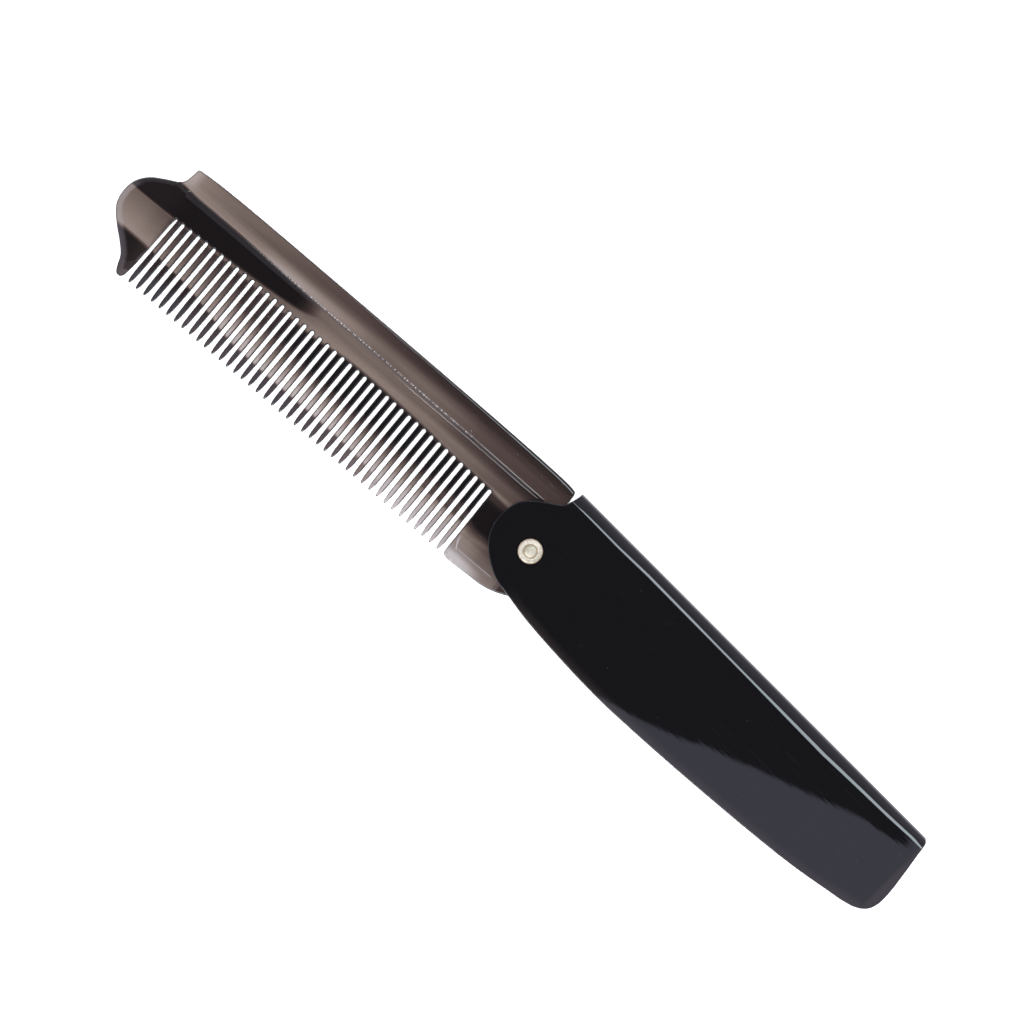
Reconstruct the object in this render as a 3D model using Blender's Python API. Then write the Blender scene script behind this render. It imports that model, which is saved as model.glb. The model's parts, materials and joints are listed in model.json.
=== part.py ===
"""A folding pocket comb of cellulose acetate, lying open.

The handle is a case that is slotted from its curved edge. The comb turns on a rivet through the round lobe
at the handle's front: the teeth swing down and round into the slot, and the comb's spine then lies along the
handle's curved edge. Lengths are in metres. +X runs along the handle's spine to its far end, +Y points to
its spine, and +Z up. The origin is the middle of the open comb's box, on the surface that it lies on.
"""

import math

import bmesh
import bpy
from mathutils import Vector

MM = 0.001
SAME_POINT = 0.001 * MM

# Handle, measured from the rivet's axis
HANDLE_THICKNESS = 6.2 * MM
SIDE_WALL = 1.2 * MM
HANDLE_SPINE_Y = 14.75 * MM
SPINE_WALL = 2.4 * MM
SPINE_ROUNDING = 2.1 * MM
ROUNDING_STEPS = 4
SLOT_WIDTH = HANDLE_THICKNESS - 2 * SIDE_WALL

# Comb, measured from the rivet's axis with its teeth pointing to -Y and its tip at -X
OPEN_ANGLE = math.radians(4.78)
COMB_SPINE_THICKNESS = 3.2 * MM
BLADE_THICKNESS = 2.6 * MM
TOOTH_TIP_THICKNESS = 1.2 * MM
COMB_SPINE_ROUNDING = 0.6 * MM
MILLED_EDGE_Y = 9.06 * MM
MILLED_EDGE_SLOPE = -0.0125
SHOULDER_WIDTH = 0.8 * MM
BLADE_FLAT = 3.7 * MM
BLADE_DEPTH = 21.0 * MM

# Teeth, cut by gaps at one pitch between the guard at the tip and the heel
TEETH = 42
TOOTH_PITCH = 1.88 * MM
LAST_GAP_X = -13.26 * MM
FIRST_GAP_X = LAST_GAP_X - TEETH * TOOTH_PITCH
GAP_WIDTH = 0.80 * MM
GAP_ROUND_STEPS = 4
TIP_Y_AT_GUARD = -10.35 * MM
TIP_Y_AT_HEEL = -11.15 * MM
# The first gap's round end is narrower and nearer its tooth, because the guard's edge slants
FIRST_GAP_WIDTH = 0.52 * MM
FIRST_GAP_SHIFT = 0.19 * MM
# How far the saw cuts wander from their pitch along the comb
SAW_WANDER = (
    # x, shift at the roots, shift at the tips
    (-90.0 * MM, -0.09 * MM, -0.08 * MM),
    (-87.0 * MM, -0.12 * MM, -0.12 * MM),
    (-79.0 * MM, 0.00 * MM, 0.07 * MM),
    (-70.0 * MM, 0.00 * MM, 0.05 * MM),
    (-62.0 * MM, -0.15 * MM, -0.12 * MM),
    (-55.0 * MM, -0.04 * MM, 0.02 * MM),
    (-48.0 * MM, 0.02 * MM, 0.10 * MM),
    (-35.0 * MM, -0.10 * MM, 0.00 * MM),
    (-28.0 * MM, 0.00 * MM, 0.12 * MM),
    (-20.0 * MM, 0.12 * MM, 0.23 * MM),
    (-15.0 * MM, 0.12 * MM, 0.28 * MM),
)
# Half width of a tooth at each height above its tip
TIP_PROFILE = (
    # height, half width
    (0.00 * MM, 0.10 * MM),
    (0.35 * MM, 0.27 * MM),
    (0.95 * MM, 0.39 * MM),
    (1.90 * MM, 0.46 * MM),
)
# Height of the gaps' round ends along the comb
GAP_END_LINE = (
    # x, y
    (-92.2 * MM, 4.75 * MM),
    (-84.0 * MM, 5.10 * MM),
    (-72.0 * MM, 5.38 * MM),
    (-57.0 * MM, 5.25 * MM),
    (-38.0 * MM, 4.97 * MM),
    (-24.0 * MM, 4.58 * MM),
    (-17.0 * MM, 4.28 * MM),
    (-13.3 * MM, 4.00 * MM),
)

# Rivet and its seats
SHANK_RADIUS = 1.2 * MM
HEAD_RADIUS = 2.47 * MM
HEAD_RECESS_RADIUS = 1.4 * MM
HEAD_RECESS = 0.2 * MM
HEAD_PROUD = 0.1 * MM
BACK_HEAD_SUNK = 0.05 * MM
SEAT_RADIUS = 2.9 * MM
SEAT_DEPTH = 0.7 * MM
RUNNING_GAP = 0.3 * MM
ROUND_SIDES = 28

# Points that the outlines run through, in millimetres from the rivet's axis
HANDLE_FRONT = (
    (-0.62, 14.75),
    (-0.83, 13.20),
    (-1.12, 12.10),
    (-1.62, 10.85),
    (-2.60, 9.95),
    (-4.10, 8.95),
    (-6.30, 7.25),
    (-8.10, 5.20),
    (-8.88, 2.20),
    (-8.65, -1.10),
    (-7.40, -3.80),
    (-4.75, -6.30),
    (-0.90, -8.30),
    (3.20, -9.00),
)
HANDLE_CURVED_EDGE = (
    (3.20, -9.00),
    (9.50, -9.88),
    (27.00, -10.68),
    (38.00, -10.32),
    (57.00, -9.00),
    (76.00, -7.10),
    (88.40, -5.00),
)
HANDLE_FAR_END = (
    (88.40, -5.00),
    (91.25, -4.12),
    (93.18, -2.66),
    (94.00, -0.60),
    (94.00, 2.60),
    (93.62, 5.70),
    (92.55, 12.40),
    (92.25, 13.95),
    (91.55, 14.75),
)
COMB_TIP = (
    (-94.92, 14.50),
    (-95.08, 13.10),
    (-95.25, 12.00),
    (-95.80, 10.85),
    (-98.80, 9.12),
    (-101.20, 7.55),
    (-102.90, 5.30),
    (-103.45, 2.60),
    (-102.80, -0.50),
    (-100.20, -3.40),
    (-97.90, -5.35),
    (-96.00, -7.30),
    (-95.10, -9.30),
    (-94.45, -10.38),
    (-93.60, -10.62),
    (-92.97, -9.95),
)
GUARD_EDGE = (
    (-92.97, -9.95),
    (-92.70, -7.50),
    (-92.56, -4.50),
    (-92.47, -1.00),
    (-92.40, 2.30),
)
COMB_HEEL = (
    (-12.54, -9.50),
    (-12.45, -10.70),
    (-11.90, -11.18),
    (-6.65, -11.15),
    (-2.60, -10.90),
    (0.00, -10.22),
    (2.28, -9.23),
)
COMB_PIVOT_END = (
    (2.28, -9.23),
    (4.80, -7.30),
    (6.90, -4.40),
    (7.80, -0.80),
    (7.20, 2.80),
    (5.30, 5.40),
    (2.40, 7.60),
    (0.30, 9.20),
    (-0.38, 10.60),
    (-0.44, 12.10),
    (-0.46, 13.40),
)
COMB_SPINE_EDGE = (
    (-0.72, 14.05),
    (-1.50, 14.27),
    (-3.00, 14.45),
    (-7.60, 14.66),
    (-19.00, 14.90),
    (-38.00, 15.09),
    (-57.00, 15.16),
    (-83.60, 15.18),
    (-91.20, 14.98),
    (-94.35, 14.74),
)
FRONT_STEPS = 3
LONG_EDGE_STEPS = 2
END_STEPS = 2


def clear_scene():
    for item in list(bpy.data.objects):
        bpy.data.objects.remove(item, do_unlink=True)


def plain_material(name, colour, roughness, metallic):
    material = bpy.data.materials.new(name)
    material.use_nodes = True
    shader = material.node_tree.nodes["Principled BSDF"]
    shader.inputs["Base Color"].default_value = (*colour, 1.0)
    shader.inputs["Roughness"].default_value = roughness
    shader.inputs["Metallic"].default_value = metallic
    material.diffuse_color = (*colour, 1.0)
    return material


def curve_through(points_mm, steps):
    """Points of a centripetal Catmull-Rom curve through the given ones, both ends included."""
    given = [Vector(point) * MM for point in points_mm]
    line = [2 * given[0] - given[1], *given, 2 * given[-1] - given[-2]]
    times = [0.0]
    for before, after in zip(line, line[1:]):
        times.append(times[-1] + math.sqrt((after - before).length))
    points = []
    for i in range(1, len(line) - 2):
        for step in range(steps):
            t = times[i] + (times[i + 1] - times[i]) * step / steps
            points.append(point_at(line[i - 1 : i + 3], times[i - 1 : i + 3], t))
    points.append(given[-1])
    return points


def point_at(line, times, t):
    """The curve's point at time t, by blending its four neighbours pair by pair."""
    blended = list(line)
    for reach in (1, 2):
        for i in range(len(blended) - 1):
            start, end = times[i], times[i + reach]
            blended[i] = blended[i].lerp(blended[i + 1], (t - start) / (end - start))
        blended.pop()
    return blended[0].lerp(blended[1], (t - times[1]) / (times[2] - times[1]))


def handle_outline():
    front = curve_through(HANDLE_FRONT, FRONT_STEPS)
    curved_edge = curve_through(HANDLE_CURVED_EDGE, LONG_EDGE_STEPS)
    far_end = curve_through(HANDLE_FAR_END, END_STEPS)
    return front + curved_edge[1:] + far_end[1:]


def along_line(line, x):
    """The height at x of a line of straight stretches, level past its ends."""
    x = min(max(x, line[0][0]), line[-1][0])
    for (x0, y0), (x1, y1) in zip(line, line[1:]):
        if x <= x1:
            break
    return y0 + (y1 - y0) * (x - x0) / (x1 - x0)


def saw_wander(x):
    """How far the cuts near x lie from their pitch, at the roots and at the tips."""
    roots = [(place, at_root) for place, at_root, _ in SAW_WANDER]
    tips = [(place, at_tip) for place, _, at_tip in SAW_WANDER]
    return along_line(roots, x), along_line(tips, x)


def gap_end(x, width):
    """The round end of the gap at x, from its left wall to its right wall."""
    radius = width / 2
    top = along_line(GAP_END_LINE, x)
    turns = [math.pi * (1 - step / GAP_ROUND_STEPS) for step in range(GAP_ROUND_STEPS + 1)]
    return [Vector((x + radius * math.cos(turn), top - radius + radius * math.sin(turn))) for turn in turns]


def tooth_tip(x):
    """The pointed lower end of the tooth whose middle is at x, from its left side to its right side."""
    share = (x - FIRST_GAP_X) / (LAST_GAP_X - FIRST_GAP_X)
    tip_y = TIP_Y_AT_GUARD + (TIP_Y_AT_HEEL - TIP_Y_AT_GUARD) * share
    right = [Vector((x + half, tip_y + height)) for height, half in TIP_PROFILE]
    left = [Vector((2 * x - point.x, point.y)) for point in reversed(right)]
    return left + right


def teeth_outline():
    points = gap_end(FIRST_GAP_X + FIRST_GAP_SHIFT, FIRST_GAP_WIDTH)
    for number in range(TEETH):
        middle = FIRST_GAP_X + (number + 0.5) * TOOTH_PITCH
        next_gap = middle + TOOTH_PITCH / 2
        at_root, _ = saw_wander(next_gap)
        _, at_tip = saw_wander(middle)
        points += tooth_tip(middle + at_tip)
        points += gap_end(next_gap + at_root * (number < TEETH - 1), GAP_WIDTH)
    return points


def comb_outline():
    tip = curve_through(COMB_TIP, END_STEPS)
    guard_edge = curve_through(GUARD_EDGE, 1)
    heel = curve_through(COMB_HEEL, END_STEPS)
    pivot_end = curve_through(COMB_PIVOT_END, END_STEPS)
    spine_edge = curve_through(COMB_SPINE_EDGE, LONG_EDGE_STEPS)
    return tip + guard_edge[1:] + teeth_outline() + heel + pivot_end[1:] + spine_edge


def plate(outline, thickness):
    """A flat plate with this outline, with its middle plane at height 0."""
    mesh = bmesh.new()
    rim = [mesh.verts.new((point.x, point.y, -thickness / 2)) for point in outline]
    under = mesh.faces.new(rim)
    grown = bmesh.ops.extrude_face_region(mesh, geom=[under])["geom"]
    lifted = [item for item in grown if isinstance(item, bmesh.types.BMVert)]
    bmesh.ops.translate(mesh, verts=lifted, vec=(0, 0, thickness))
    bmesh.ops.recalc_face_normals(mesh, faces=mesh.faces)
    return mesh


def crease(mesh, y, slope):
    """Cut every face along the line that passes height y at x = 0, so that the plate can bend there."""
    everything = [*mesh.verts, *mesh.edges, *mesh.faces]
    bmesh.ops.bisect_plane(mesh, geom=everything, plane_co=(0, y, 0), plane_no=(-slope, 1, 0))


def shape_across(mesh, start_y, slope, profile):
    """Give the plate its section: a half thickness at each distance from the line that starts at start_y."""
    for distance, _ in profile[1:-1]:
        crease(mesh, start_y + distance, slope)
    for vert in mesh.verts:
        distance = vert.co.y - start_y - slope * vert.co.x
        distance = min(max(distance, profile[0][0]), profile[-1][0])
        vert.co.z = math.copysign(along_line(profile, distance), vert.co.z)


def turned(profile):
    """A solid turned about the Z axis from a profile of (radius, height) that starts and ends on the axis."""
    mesh = bmesh.new()
    points = [mesh.verts.new((radius, 0, height)) for radius, height in profile]
    edges = [mesh.edges.new(pair) for pair in zip(points, points[1:])]
    bmesh.ops.spin(
        mesh,
        geom=points + edges,
        cent=(0, 0, 0),
        axis=(0, 0, 1),
        angle=math.tau,
        steps=ROUND_SIDES,
        use_merge=True,
    )
    bmesh.ops.remove_doubles(mesh, verts=mesh.verts, dist=SAME_POINT)
    bmesh.ops.recalc_face_normals(mesh, faces=mesh.faces)
    return mesh


def piece(name, mesh, material, parent):
    data = bpy.data.meshes.new(name)
    mesh.to_mesh(data)
    mesh.free()
    made = bpy.data.objects.new(name, data)
    bpy.context.scene.collection.objects.link(made)
    made.parent = parent
    if material:
        data.materials.append(material)
    return made


def cut(target, name, mesh):
    """Cut the mesh from the target with a Boolean, and leave the cutter as a hidden wire."""
    cutter = piece(name, mesh, None, target.parent)
    cutter.rotation_euler = target.rotation_euler
    cutter.hide_render = True
    cutter.display_type = "WIRE"
    boolean = target.modifiers.new(name, "BOOLEAN")
    boolean.operation = "DIFFERENCE"
    boolean.object = cutter


def block(low, high):
    mesh = bmesh.new()
    bmesh.ops.create_cube(mesh, size=1)
    size = Vector(high) - Vector(low)
    bmesh.ops.scale(mesh, verts=mesh.verts, vec=size)
    bmesh.ops.translate(mesh, verts=mesh.verts, vec=Vector(low) + size / 2)
    return mesh


def rounded_spine_profile():
    """Half thickness of the handle from inside its spine out to the spine's edge, as a quarter round."""
    half = HANDLE_THICKNESS / 2
    profile = [(-HANDLE_SPINE_Y, half)]
    for step in range(ROUNDING_STEPS + 1):
        turn = math.pi / 2 * step / ROUNDING_STEPS
        distance = -SPINE_ROUNDING * (1 - math.sin(turn))
        profile.append((distance, half - SPINE_ROUNDING * (1 - math.cos(turn))))
    return profile


def make_handle(parent):
    mesh = plate(handle_outline(), HANDLE_THICKNESS)
    shape_across(mesh, HANDLE_SPINE_Y, 0.0, rounded_spine_profile())
    handle = piece("handle", mesh, plain_material("black_acetate", (0.010, 0.010, 0.012), 0.12, 0.0), parent)
    reach = 120 * MM
    slot_end_y = HANDLE_SPINE_Y - SPINE_WALL
    slot = block((-reach, -reach, -SLOT_WIDTH / 2), (reach, slot_end_y, SLOT_WIDTH / 2))
    cut(handle, "slot_cutter", slot)
    cut(handle, "rivet_seat_cutter", turned(seat_profile()))


def seat_profile():
    """The rivet's hole through the handle, with a shallow round seat for the head at each face."""
    face = HANDLE_THICKNESS / 2
    seat = face - SEAT_DEPTH
    above = face + SEAT_DEPTH
    hole = SHANK_RADIUS + RUNNING_GAP
    upper = [(0, above), (SEAT_RADIUS, above), (SEAT_RADIUS, seat), (hole, seat)]
    return upper + [(radius, -height) for radius, height in reversed(upper)]


def make_comb(parent):
    mesh = plate(comb_outline(), COMB_SPINE_THICKNESS)
    blade_half = BLADE_THICKNESS / 2
    section = (
        (-BLADE_DEPTH, TOOTH_TIP_THICKNESS / 2),
        (-SHOULDER_WIDTH - BLADE_FLAT, blade_half),
        (-SHOULDER_WIDTH, blade_half),
        (0.0, COMB_SPINE_THICKNESS / 2),
        (BLADE_DEPTH, COMB_SPINE_THICKNESS / 2),
    )
    shape_across(mesh, MILLED_EDGE_Y, MILLED_EDGE_SLOPE, section)
    round_comb_spine(mesh)
    comb = piece("comb", mesh, plain_material("smoky_acetate", (0.085, 0.068, 0.060), 0.12, 0.0), parent)
    comb.rotation_euler.z = OPEN_ANGLE
    hole = SHANK_RADIUS + RUNNING_GAP
    through = COMB_SPINE_THICKNESS
    cut(comb, "comb_hole_cutter", turned([(0, through), (hole, through), (hole, -through), (0, -through)]))


def round_comb_spine(mesh):
    """Round both long edges of the comb's spine."""
    lowest = min(y for x, y in COMB_SPINE_EDGE) * MM - SAME_POINT
    face_height = COMB_SPINE_THICKNESS / 2 - SAME_POINT
    edges = []
    for edge in mesh.edges:
        start, end = (vert.co for vert in edge.verts)
        on_spine = all(point.y > lowest and abs(point.z) > face_height for point in (start, end))
        if on_spine and start.z * end.z > 0:
            edges.append(edge)
    bmesh.ops.bevel(
        mesh,
        geom=edges,
        offset=COMB_SPINE_ROUNDING,
        affect="EDGES",
        segments=2,
        profile=0.5,
        material=-1,
        clamp_overlap=True,
    )
    bmesh.ops.remove_doubles(mesh, verts=mesh.verts, dist=SAME_POINT)


def make_rivet(parent):
    face = HANDLE_THICKNESS / 2
    under_head = face - SEAT_DEPTH + RUNNING_GAP
    crown = face + HEAD_PROUD
    dish = crown - HEAD_RECESS
    back = face - BACK_HEAD_SUNK
    middle_radius = (HEAD_RECESS_RADIUS + HEAD_RADIUS) / 2
    profile = [
        (0, dish),
        (HEAD_RECESS_RADIUS, dish),
        (HEAD_RECESS_RADIUS + 0.15 * MM, crown - 0.05 * MM),
        (middle_radius, crown),
        (HEAD_RADIUS - 0.15 * MM, crown - 0.10 * MM),
        (HEAD_RADIUS, under_head + 0.15 * MM),
        (HEAD_RADIUS, under_head),
        (SHANK_RADIUS, under_head),
        (SHANK_RADIUS, -under_head),
        (HEAD_RADIUS, -under_head),
        (HEAD_RADIUS, -under_head - 0.10 * MM),
        (HEAD_RADIUS - 0.40 * MM, -back + 0.04 * MM),
        (0, -back),
    ]
    metal = plain_material("pale_nickel", (0.80, 0.77, 0.68), 0.25, 1.0)
    piece("rivet", turned(profile), metal, parent)


def smooth_pieces():
    for item in bpy.data.objects:
        if item.type == "MESH" and not item.hide_render:
            item.data.shade_smooth()
            item.data.set_sharp_from_angle(angle=math.radians(30))


def centre_on_origin(pivot):
    """Put the middle of the open comb's box over the origin, with its lowest face at height 0."""
    bpy.context.view_layer.update()
    shown = [item for item in bpy.data.objects if item.type == "MESH" and not item.hide_render]
    corners = [item.matrix_world @ vert.co for item in shown for vert in item.data.vertices]
    low = [min(corner[axis] for corner in corners) for axis in range(3)]
    high = [max(corner[axis] for corner in corners) for axis in range(3)]
    pivot.location = (-(low[0] + high[0]) / 2, -(low[1] + high[1]) / 2, -low[2])


def main():
    clear_scene()
    pivot = bpy.data.objects.new("rivet_axis", None)
    bpy.context.scene.collection.objects.link(pivot)
    make_handle(pivot)
    make_comb(pivot)
    make_rivet(pivot)
    smooth_pieces()
    centre_on_origin(pivot)


if __name__ == "__main__":
    main()
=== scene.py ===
"""The looks of a folding pocket comb of black and smoky acetate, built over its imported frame.

Lengths in the code are metres in the frame's axes: +X runs along the handle's spine to its far end, +Y
points to that spine, +Z up. Outlines are written in millimetres from the rivet's axis, and the comb's own
outlines lie in its own axes, with its teeth pointing to -Y and its tip at -X.
"""

import json
import math

import bmesh
import bpy
from bpy.props import FloatProperty, FloatVectorProperty, IntProperty, PointerProperty
from mathutils import Matrix, Vector
from mathutils.geometry import intersect_point_line


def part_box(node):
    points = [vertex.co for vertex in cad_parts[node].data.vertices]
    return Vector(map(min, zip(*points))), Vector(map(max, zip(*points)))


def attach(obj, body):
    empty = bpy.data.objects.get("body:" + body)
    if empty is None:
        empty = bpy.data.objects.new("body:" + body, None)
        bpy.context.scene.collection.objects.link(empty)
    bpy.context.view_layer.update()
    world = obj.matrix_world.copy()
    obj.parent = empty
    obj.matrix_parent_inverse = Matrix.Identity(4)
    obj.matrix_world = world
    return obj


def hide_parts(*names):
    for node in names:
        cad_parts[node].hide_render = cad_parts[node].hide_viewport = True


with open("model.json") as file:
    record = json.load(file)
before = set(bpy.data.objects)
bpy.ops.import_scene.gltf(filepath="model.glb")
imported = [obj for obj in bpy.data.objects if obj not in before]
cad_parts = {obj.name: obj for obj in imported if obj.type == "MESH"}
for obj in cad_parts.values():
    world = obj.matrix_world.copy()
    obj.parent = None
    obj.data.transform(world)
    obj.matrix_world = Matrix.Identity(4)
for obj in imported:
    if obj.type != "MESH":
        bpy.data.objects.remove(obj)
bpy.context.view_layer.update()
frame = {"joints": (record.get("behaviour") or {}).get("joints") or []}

bl_info = {
    "name": "Folding comb",
    "version": (1, 0, 0),
    "blender": (4, 5, 0),
    "location": "3D View > Sidebar > Folding comb",
    "description": "Builds a folding acetate comb, its rivet and a plain studio over a packed frame",
    "category": "Add Mesh",
}

MM = 0.001


def metres(*points, shares=0):
    """Points written in millimetres, in metres. Their last columns may be plain shares."""
    lengths = len(points[0]) - shares
    return tuple((*(value * MM for value in point[:lengths]), *point[lengths:]) for point in points)


JOINT = frame["joints"][0]
PIVOT = Vector(JOINT["pos_m"])
OPEN_ANGLE = math.radians(180 - JOINT["range_deg"][1])
HANDLE_LOW, HANDLE_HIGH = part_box("handle")
COMB_LOW, COMB_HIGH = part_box("comb")
RIVET_LOW, RIVET_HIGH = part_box("rivet")
# Gap between a bend and the line beside it that keeps its facets flat
BEND_SUPPORT = 0.02 * MM
SAME_POINT = 0.001 * MM
# A face whose normal's Z is above this is one of a plate's two flat sides
FLAT_SIDE = 0.9

# Handle
HANDLE_HALF = (HANDLE_HIGH.z - HANDLE_LOW.z) / 2
WALL = 1.2 * MM
SLOT_HALF = HANDLE_HALF - WALL
SLOT_END_Y = 12.35 * MM
# The block that cuts the slot reaches this far past the rivet on every open side
SLOT_REACH = 150 * MM
SPINE_Y = HANDLE_HIGH.y - PIVOT.y
SPINE_TURN_Y = 12.25 * MM
SPINE_TURN_WIDTH = 0.06 * MM
SPINE_TURN_DROP = 0.006 * MM
SPINE_FACET = 0.32 * MM
SPINE_FACET_TILT = math.radians(12.5)
SPINE_FACET_MIDDLE_Y = SPINE_TURN_Y + SPINE_FACET / 2
# The round edge past the facet: a gentle arc and then a tight one, with the tilt where they meet
SPINE_TIGHT_Y = 14.20 * MM
SPINE_TIGHT_TILT = math.radians(38)
SPINE_ARC_STEPS = 6
# How far the facet wanders from its line, at each x, and the height from where that fades to the edge
SPINE_WANDER = metres(
    (3.8, 0.01), (11.4, -0.08), (19, 0.08), (28.5, 0), (38, -0.05), (47.5, -0.13), (57, -0.28), (66.5, -0.4),
    (76, -0.11), (83.6, 0.06), (89.3, 0.33),
)
WANDER_FULL_Y = 13.0 * MM
# How much wider the facet is, at each x
SPINE_FACET_GROWTH = metres(
    (3.8, 0.1), (20, 0.1), (28.5, 0.06), (38, -0.025), (57, -0.035), (80, -0.03),
)
HANDLE_FRONT = (
    (-0.62, 14.75), (-0.83, 13.2), (-1.12, 12.1), (-1.62, 10.85), (-2.6, 9.95), (-4.1, 8.95), (-6.3, 7.25),
    (-8.1, 5.2), (-8.88, 2.2), (-8.65, -1.1), (-7.4, -3.8), (-4.75, -6.3), (-0.9, -8.3), (3.2, -9),
)
HANDLE_CURVED_EDGE = (
    (3.2, -9), (9.5, -9.88), (27, -10.68), (38, -10.32), (57, -9), (76, -7.1), (88.4, -5),
)
HANDLE_FAR_END = (
    (88.4, -5), (91.25, -4.12), (93.18, -2.66), (94, -0.6), (94, 2.6), (93.62, 5.7), (92.55, 12.4),
    (92.25, 13.95), (91.55, 14.75),
)
SEAT_SIDES = 96

# Comb
SPINE_HALF = (COMB_HIGH.z - COMB_LOW.z) / 2
CREST_FACES_Y = 11.2 * MM
# A face whose normal's Z is above this lies flat
FLAT = 0.999
# Share of the crest's tilt, at each x
CREST_FADE = metres(
    (-55, 0.5), (-43, 0.72), (-38, 0.8), (-34, 0.84), (-26, 1),
    shares=1,
)
# How far the crest's facet lies further in, at each x
CREST_SHIFT = metres(
    (-34, 0), (-27, 0.03), (-19, 0.09), (-11.4, 0.17), (-5.7, 0.17), (-2.3, 0.26),
)
# The rounding outside the facet follows it less this spread, and its outermost line, within this distance
# of the edge, goes down by the turn and by a share of the shift
CREST_SPREAD = 0.025 * MM
CREST_TURN_FROM = 0.06 * MM
CREST_TURN = 0.02 * MM
CREST_TURN_GROWTH = 0.3
GUARD_SIDE_X = -92.33 * MM
LOBE_TOP_Y = 10.4 * MM
LOBE_X = (-103.2 * MM, -92.6 * MM)
LOBE_Y = (-10.3 * MM, 9.9 * MM)
LOBE_CREASES = 0.35 * MM
GUARD_BEVEL = 1.5 * MM
GUARD_BEVEL_START_Y = -3.0 * MM
GUARD_BEVEL_GROWTH = 0.33
# Share of the lobe's drop and of its clearing that the guard's bevel has
GUARD_DROP = 0.5
GUARD_CLEARING = 0.12
# The rim is what lies at least this far under the flat face
RIM_DROP = 0.01 * MM
# Strength of the rim's dark contour, a painted shade at the rounded edges: below this height in the teeth,
# beside the first gap, round the lobe, and elsewhere with its growth towards +X
CONTOUR_END_Y = -9.7 * MM
TOOTH_CONTOUR = 1.2
GUARD_CONTOUR = 0.2
LOBE_CONTOUR = 0.6
EDGE_CONTOUR = 0.8
EDGE_CONTOUR_GROWTH = 0.2
COMB_TIP = (
    (-94.92, 14.5), (-95.08, 13.1), (-95.25, 12), (-95.8, 10.85), (-98.8, 9.12), (-101.2, 7.55),
    (-102.9, 5.3), (-103.45, 2.6), (-102.8, -0.5), (-100.2, -3.4), (-97.9, -5.35), (-96, -7.3), (-95.1, -9.3),
    (-94.45, -10.38), (-93.6, -10.62), (-92.97, -9.95),
)
GUARD_EDGE = (
    (-92.97, -9.95), (-92.7, -7.5), (-92.56, -4.5), (-92.47, -1), (-92.4, 2.3),
)
COMB_HEEL = (
    (-12.54, -9.5), (-12.45, -10.7), (-11.9, -11.18), (-6.65, -11.15), (-2.6, -10.9), (0, -10.22),
    (2.28, -9.23),
)
COMB_PIVOT_END = (
    (2.28, -9.23), (4.8, -7.3), (6.9, -4.4), (7.8, -0.8), (7.2, 2.8), (5.3, 5.4), (2.4, 7.6), (0.3, 9.2),
    (-0.38, 10.6), (-0.44, 12.1), (-0.46, 13.4),
)
COMB_SPINE_EDGE = (
    (-0.72, 14.05), (-1.5, 14.27), (-3, 14.45), (-7.6, 14.66), (-19, 14.9), (-38, 15.09), (-57, 15.16),
    (-83.6, 15.18), (-91.2, 14.98), (-94.35, 14.74),
)
TEETH = 42
TOOTH_PITCH = 1.88 * MM
LAST_GAP_X = -13.26 * MM
FIRST_GAP_X = LAST_GAP_X - TEETH * TOOTH_PITCH
GAP_WIDTH = 0.80 * MM
TOOTH_HALF = (TOOTH_PITCH - GAP_WIDTH) / 2
TIP_Y_AT_GUARD = -10.35 * MM
TIP_Y_AT_HEEL = -11.15 * MM
# Steps in the half circle of a gap's end or a tooth's tip
ROUND_STEPS = 8
# The first gap's round end is narrower and nearer its tooth, because the guard's edge slants
FIRST_GAP_WIDTH = 0.52 * MM
FIRST_GAP_SHIFT = 0.19 * MM
# How far the saw cuts wander from their pitch, at each x: at the roots and at the tips
SAW_WANDER = metres(
    (-90, -0.09, -0.08), (-87, -0.12, -0.12), (-79, 0, 0.07), (-70, 0, 0.05), (-62, -0.15, -0.12),
    (-55, -0.04, 0.02), (-48, 0.02, 0.1), (-35, -0.1, 0), (-28, 0, 0.12), (-20, 0.12, 0.23),
    (-15, 0.12, 0.28),
)
ROOT_WANDER = tuple((x, at_root) for x, at_root, _ in SAW_WANDER)
TIP_WANDER = tuple((x, at_tip) for x, _, at_tip in SAW_WANDER)
# Share of a tooth's full width at each height above its tip
TIP_TAPER = metres(
    (0, 0.5), (0.55, 0.6), (1, 0.74), (1.9, 0.86), (4, 0.93), (14, 1),
    shares=1,
)
# Height of the gaps' round ends, at each x
GAP_END_LINE = metres(
    (-92.2, 4.75), (-84, 5.1), (-72, 5.38), (-57, 5.25), (-38, 4.97), (-24, 4.58), (-17, 4.28), (-13.3, 4),
)
# Heights of the lines across the teeth that let them narrow
TOOTH_LINES_MM = (-9.8, -9.5, -9.0, -8.0, -6.5, -3.0, 1.0)
MILLED_EDGE_Y = 9.06 * MM
MILLED_EDGE_SLOPE = -0.0125
# Half thickness of the comb at each distance from the milled edge, below the shoulder
BLADE_SECTION = metres(
    (-21.4, 0.4), (-17.9, 0.84), (-12, 1.02), (-4.5, 1.27), (-1, 1.28),
)
# Share of the shoulder's drop at each distance from the milled edge: two facets with a steep flank between
SHOULDER = metres(
    (-0.74, 1), (-0.65, 0.95), (-0.05, 0.065), (0.06, 0),
    shares=1,
)
# How the shoulder changes, at each x: the rise of its top and the stretch down to its foot
SHOULDER_STATIONS = metres(
    (-93.5, 0.2, 1.8), (-80, 0.28, 1.52), (-68, 0.16, 1.35), (-57, 0.12, 1.08), (-46, 0.19, 1.01),
    (-38, 0.15, 1.12), (-30.4, 0.15, 1), (-22.8, 0.15, 0.88), (-15.2, 0.09, 0.9), (-9.5, 0.03, 0.97),
    (-5.7, 0.02, 0.84), (-3, 0.02, 0.9),
    shares=1,
)
SHOULDER_RISE = tuple((x, rise) for x, rise, _ in SHOULDER_STATIONS)
SHOULDER_STRETCH = tuple((x, stretch) for x, _, stretch in SHOULDER_STATIONS)
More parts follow.
